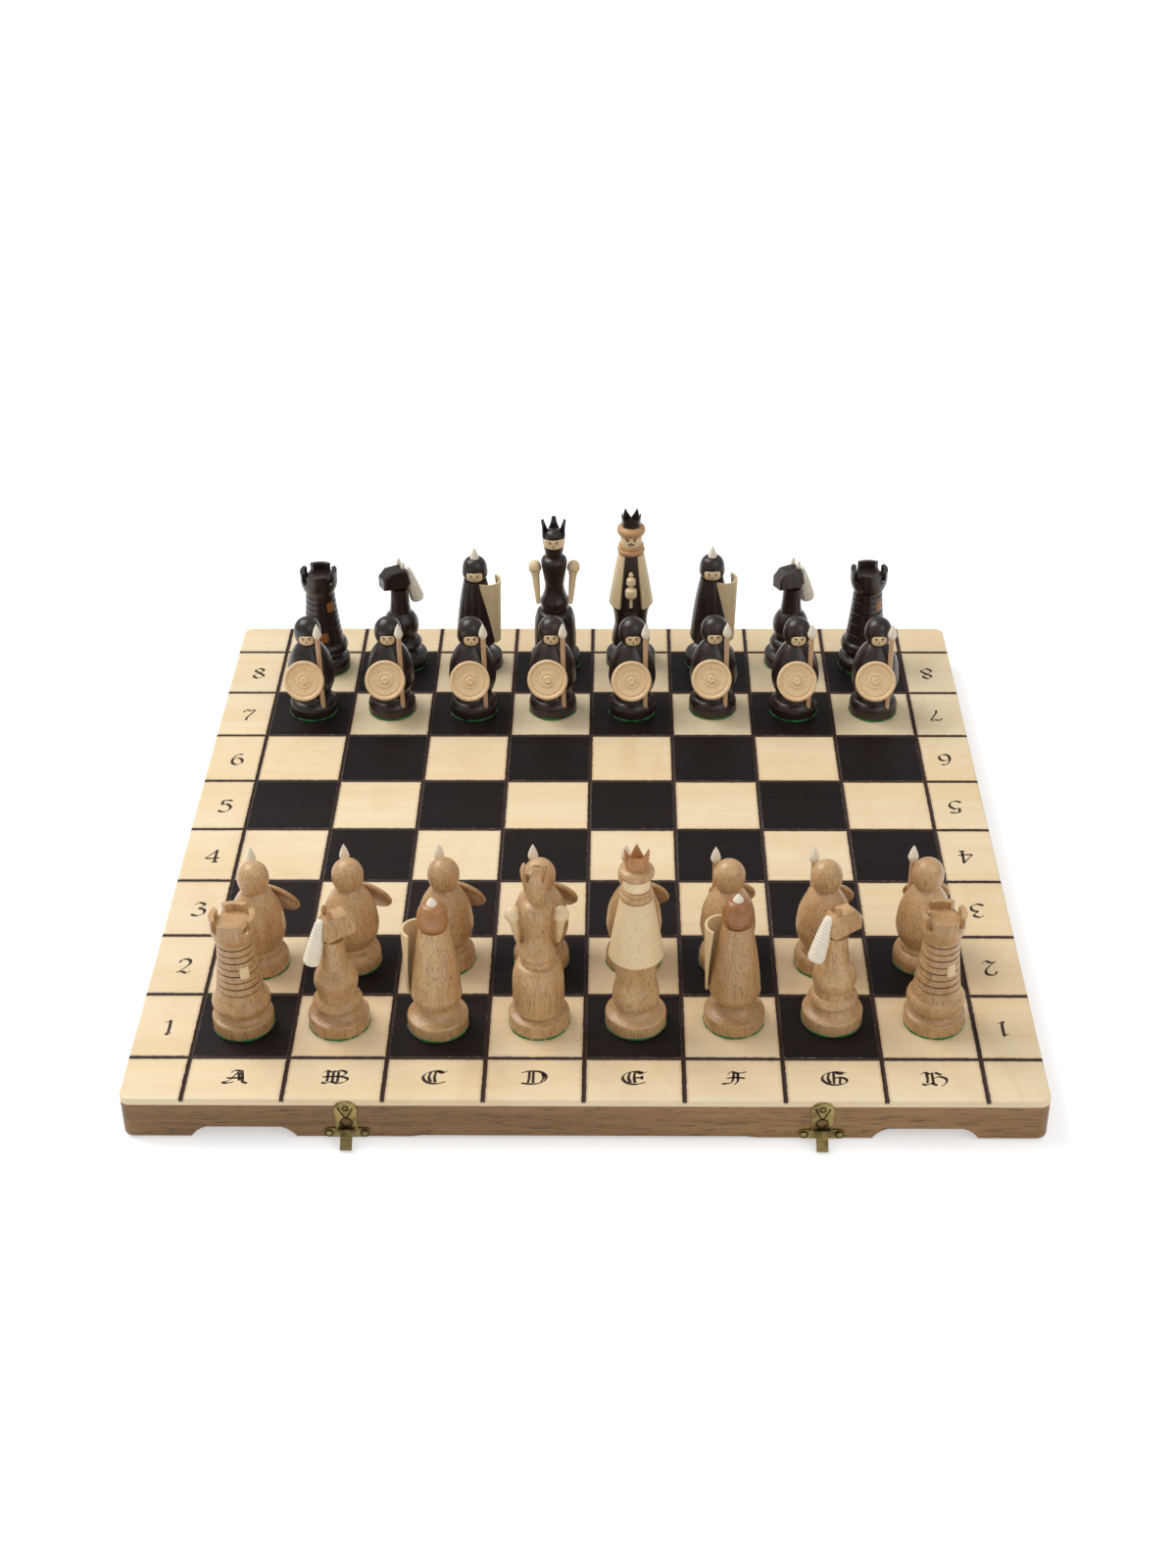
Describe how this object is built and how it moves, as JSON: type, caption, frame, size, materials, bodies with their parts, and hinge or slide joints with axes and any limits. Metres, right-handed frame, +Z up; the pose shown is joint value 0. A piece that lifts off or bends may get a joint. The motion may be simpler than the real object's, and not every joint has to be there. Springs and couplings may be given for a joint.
{
  "type": "chess set",
  "caption": "Folding wooden chess board on a hollow frame, with turned wooden chessmen that lift off their squares, hinges and two front latches.",
  "frame": {"origin": "middle of the open board, on the plane where its two halves close on each other, which is the table top", "axes": "+Z up, +X from file A to file H, +Y from the white side to the black side"},
  "size_m": [0.5, 0.5125, 0.1451],
  "materials": {
    "pale_birch": "satin lacquer",
    "dark_stain": "satin lacquer",
    "rail_wood": "satin",
    "lining_board": "matt",
    "antique_brass": "aged",
    "bright_brass": "satin",
    "beech_men": "satin",
    "stained_men": "satin"
  },
  "bodies": {
    "far_half": {"far_top_panel": "pale_birch", "far_dark_squares": "dark_stain", "far_back_rail": "rail_wood", "far_hinge_rail": "rail_wood", "far_left_rail": "rail_wood", "far_right_rail": "rail_wood", "far_lining": "lining_board", "hinge_leaves_far": "bright_brass", "hinge_screws_far": "bright_brass", "hinge_pins": "bright_brass", "catch_plates": "antique_brass", "catch_nails": "antique_brass"},
    "near_half": {"near_top_panel": "pale_birch", "near_dark_squares": "dark_stain", "near_front_rail": "rail_wood", "near_hinge_rail": "rail_wood", "near_left_rail": "rail_wood", "near_right_rail": "rail_wood", "near_lining": "lining_board", "hinge_leaves_near": "bright_brass", "hinge_screws_near": "bright_brass", "left_latch_plate": "antique_brass", "right_latch_plate": "antique_brass", "latch_pins": "antique_brass", "latch_nails": "antique_brass"},
    "left_hook": {"left_latch_hook": "antique_brass"},
    "right_hook": {"right_latch_hook": "antique_brass"},
    "white_rook_a_man": {"white_rook_a": "beech_men"},
    "white_knight_b_man": {"white_knight_b": "beech_men"},
    "white_bishop_c_man": {"white_bishop_c": "beech_men"},
    "white_queen_d_man": {"white_queen_d": "beech_men"},
    "white_king_e_man": {"white_king_e": "beech_men"},
    "white_bishop_f_man": {"white_bishop_f": "beech_men"},
    "white_knight_g_man": {"white_knight_g": "beech_men"},
    "white_rook_h_man": {"white_rook_h": "beech_men"},
    "white_pawn_a_man": {"white_pawn_a": "beech_men"},
    "white_pawn_b_man": {"white_pawn_b": "beech_men"},
    "white_pawn_c_man": {"white_pawn_c": "beech_men"},
    "white_pawn_d_man": {"white_pawn_d": "beech_men"},
    "white_pawn_e_man": {"white_pawn_e": "beech_men"},
    "white_pawn_f_man": {"white_pawn_f": "beech_men"},
    "white_pawn_g_man": {"white_pawn_g": "beech_men"},
    "white_pawn_h_man": {"white_pawn_h": "beech_men"},
    "black_rook_a_man": {"black_rook_a": "stained_men"},
    "black_knight_b_man": {"black_knight_b": "stained_men"},
    "black_bishop_c_man": {"black_bishop_c": "stained_men"},
    "black_queen_d_man": {"black_queen_d": "stained_men"},
    "black_king_e_man": {"black_king_e": "stained_men"},
    "black_bishop_f_man": {"black_bishop_f": "stained_men"},
    "black_knight_g_man": {"black_knight_g": "stained_men"},
    "black_rook_h_man": {"black_rook_h": "stained_men"},
    "black_pawn_a_man": {"black_pawn_a": "stained_men"},
    "black_pawn_b_man": {"black_pawn_b": "stained_men"},
    "black_pawn_c_man": {"black_pawn_c": "stained_men"},
    "black_pawn_d_man": {"black_pawn_d": "stained_men"},
    "black_pawn_e_man": {"black_pawn_e": "stained_men"},
    "black_pawn_f_man": {"black_pawn_f": "stained_men"},
    "black_pawn_g_man": {"black_pawn_g": "stained_men"},
    "black_pawn_h_man": {"black_pawn_h": "stained_men"}
  },
  "joints": [
    {"name": "board_fold", "type": "hinge", "parent": "far_half", "child": "near_half", "pos_m": [0, 0, -0.00005], "axis": [1, 0, 0], "range_deg": [0, 180]},
    {"name": "left_hook_swing", "type": "hinge", "parent": "near_half", "child": "left_hook", "pos_m": [-0.128, -0.2523, 0.0065], "axis": [1, 0, 0], "range_deg": [-100, 50]},
    {"name": "right_hook_swing", "type": "hinge", "parent": "near_half", "child": "right_hook", "pos_m": [0.128, -0.2523, 0.0065], "axis": [1, 0, 0], "range_deg": [-100, 50]},
    {"name": "white_rook_a_lift", "type": "slide", "parent": "near_half", "child": "white_rook_a_man", "axis": [0, 0, 1], "range_m": [0, 0.15]},
    {"name": "white_knight_b_lift", "type": "slide", "parent": "near_half", "child": "white_knight_b_man", "axis": [0, 0, 1], "range_m": [0, 0.15]},
    {"name": "white_bishop_c_lift", "type": "slide", "parent": "near_half", "child": "white_bishop_c_man", "axis": [0, 0, 1], "range_m": [0, 0.15]},
    {"name": "white_queen_d_lift", "type": "slide", "parent": "near_half", "child": "white_queen_d_man", "axis": [0, 0, 1], "range_m": [0, 0.15]},
    {"name": "white_king_e_lift", "type": "slide", "parent": "near_half", "child": "white_king_e_man", "axis": [0, 0, 1], "range_m": [0, 0.15]},
    {"name": "white_bishop_f_lift", "type": "slide", "parent": "near_half", "child": "white_bishop_f_man", "axis": [0, 0, 1], "range_m": [0, 0.15]},
    {"name": "white_knight_g_lift", "type": "slide", "parent": "near_half", "child": "white_knight_g_man", "axis": [0, 0, 1], "range_m": [0, 0.15]},
    {"name": "white_rook_h_lift", "type": "slide", "parent": "near_half", "child": "white_rook_h_man", "axis": [0, 0, 1], "range_m": [0, 0.15]},
    {"name": "white_pawn_a_lift", "type": "slide", "parent": "near_half", "child": "white_pawn_a_man", "axis": [0, 0, 1], "range_m": [0, 0.15]},
    {"name": "white_pawn_b_lift", "type": "slide", "parent": "near_half", "child": "white_pawn_b_man", "axis": [0, 0, 1], "range_m": [0, 0.15]},
    {"name": "white_pawn_c_lift", "type": "slide", "parent": "near_half", "child": "white_pawn_c_man", "axis": [0, 0, 1], "range_m": [0, 0.15]},
    {"name": "white_pawn_d_lift", "type": "slide", "parent": "near_half", "child": "white_pawn_d_man", "axis": [0, 0, 1], "range_m": [0, 0.15]},
    {"name": "white_pawn_e_lift", "type": "slide", "parent": "near_half", "child": "white_pawn_e_man", "axis": [0, 0, 1], "range_m": [0, 0.15]},
    {"name": "white_pawn_f_lift", "type": "slide", "parent": "near_half", "child": "white_pawn_f_man", "axis": [0, 0, 1], "range_m": [0, 0.15]},
    {"name": "white_pawn_g_lift", "type": "slide", "parent": "near_half", "child": "white_pawn_g_man", "axis": [0, 0, 1], "range_m": [0, 0.15]},
    {"name": "white_pawn_h_lift", "type": "slide", "parent": "near_half", "child": "white_pawn_h_man", "axis": [0, 0, 1], "range_m": [0, 0.15]},
    {"name": "black_rook_a_lift", "type": "slide", "parent": "far_half", "child": "black_rook_a_man", "axis": [0, 0, 1], "range_m": [0, 0.15]},
    {"name": "black_knight_b_lift", "type": "slide", "parent": "far_half", "child": "black_knight_b_man", "axis": [0, 0, 1], "range_m": [0, 0.15]},
    {"name": "black_bishop_c_lift", "type": "slide", "parent": "far_half", "child": "black_bishop_c_man", "axis": [0, 0, 1], "range_m": [0, 0.15]},
    {"name": "black_queen_d_lift", "type": "slide", "parent": "far_half", "child": "black_queen_d_man", "axis": [0, 0, 1], "range_m": [0, 0.15]},
    {"name": "black_king_e_lift", "type": "slide", "parent": "far_half", "child": "black_king_e_man", "axis": [0, 0, 1], "range_m": [0, 0.15]},
    {"name": "black_bishop_f_lift", "type": "slide", "parent": "far_half", "child": "black_bishop_f_man", "axis": [0, 0, 1], "range_m": [0, 0.15]},
    {"name": "black_knight_g_lift", "type": "slide", "parent": "far_half", "child": "black_knight_g_man", "axis": [0, 0, 1], "range_m": [0, 0.15]},
    {"name": "black_rook_h_lift", "type": "slide", "parent": "far_half", "child": "black_rook_h_man", "axis": [0, 0, 1], "range_m": [0, 0.15]},
    {"name": "black_pawn_a_lift", "type": "slide", "parent": "far_half", "child": "black_pawn_a_man", "axis": [0, 0, 1], "range_m": [0, 0.15]},
    {"name": "black_pawn_b_lift", "type": "slide", "parent": "far_half", "child": "black_pawn_b_man", "axis": [0, 0, 1], "range_m": [0, 0.15]},
    {"name": "black_pawn_c_lift", "type": "slide", "parent": "far_half", "child": "black_pawn_c_man", "axis": [0, 0, 1], "range_m": [0, 0.15]},
    {"name": "black_pawn_d_lift", "type": "slide", "parent": "far_half", "child": "black_pawn_d_man", "axis": [0, 0, 1], "range_m": [0, 0.15]},
    {"name": "black_pawn_e_lift", "type": "slide", "parent": "far_half", "child": "black_pawn_e_man", "axis": [0, 0, 1], "range_m": [0, 0.15]},
    {"name": "black_pawn_f_lift", "type": "slide", "parent": "far_half", "child": "black_pawn_f_man", "axis": [0, 0, 1], "range_m": [0, 0.15]},
    {"name": "black_pawn_g_lift", "type": "slide", "parent": "far_half", "child": "black_pawn_g_man", "axis": [0, 0, 1], "range_m": [0, 0.15]},
    {"name": "black_pawn_h_lift", "type": "slide", "parent": "far_half", "child": "black_pawn_h_man", "axis": [0, 0, 1], "range_m": [0, 0.15]}
  ]
}
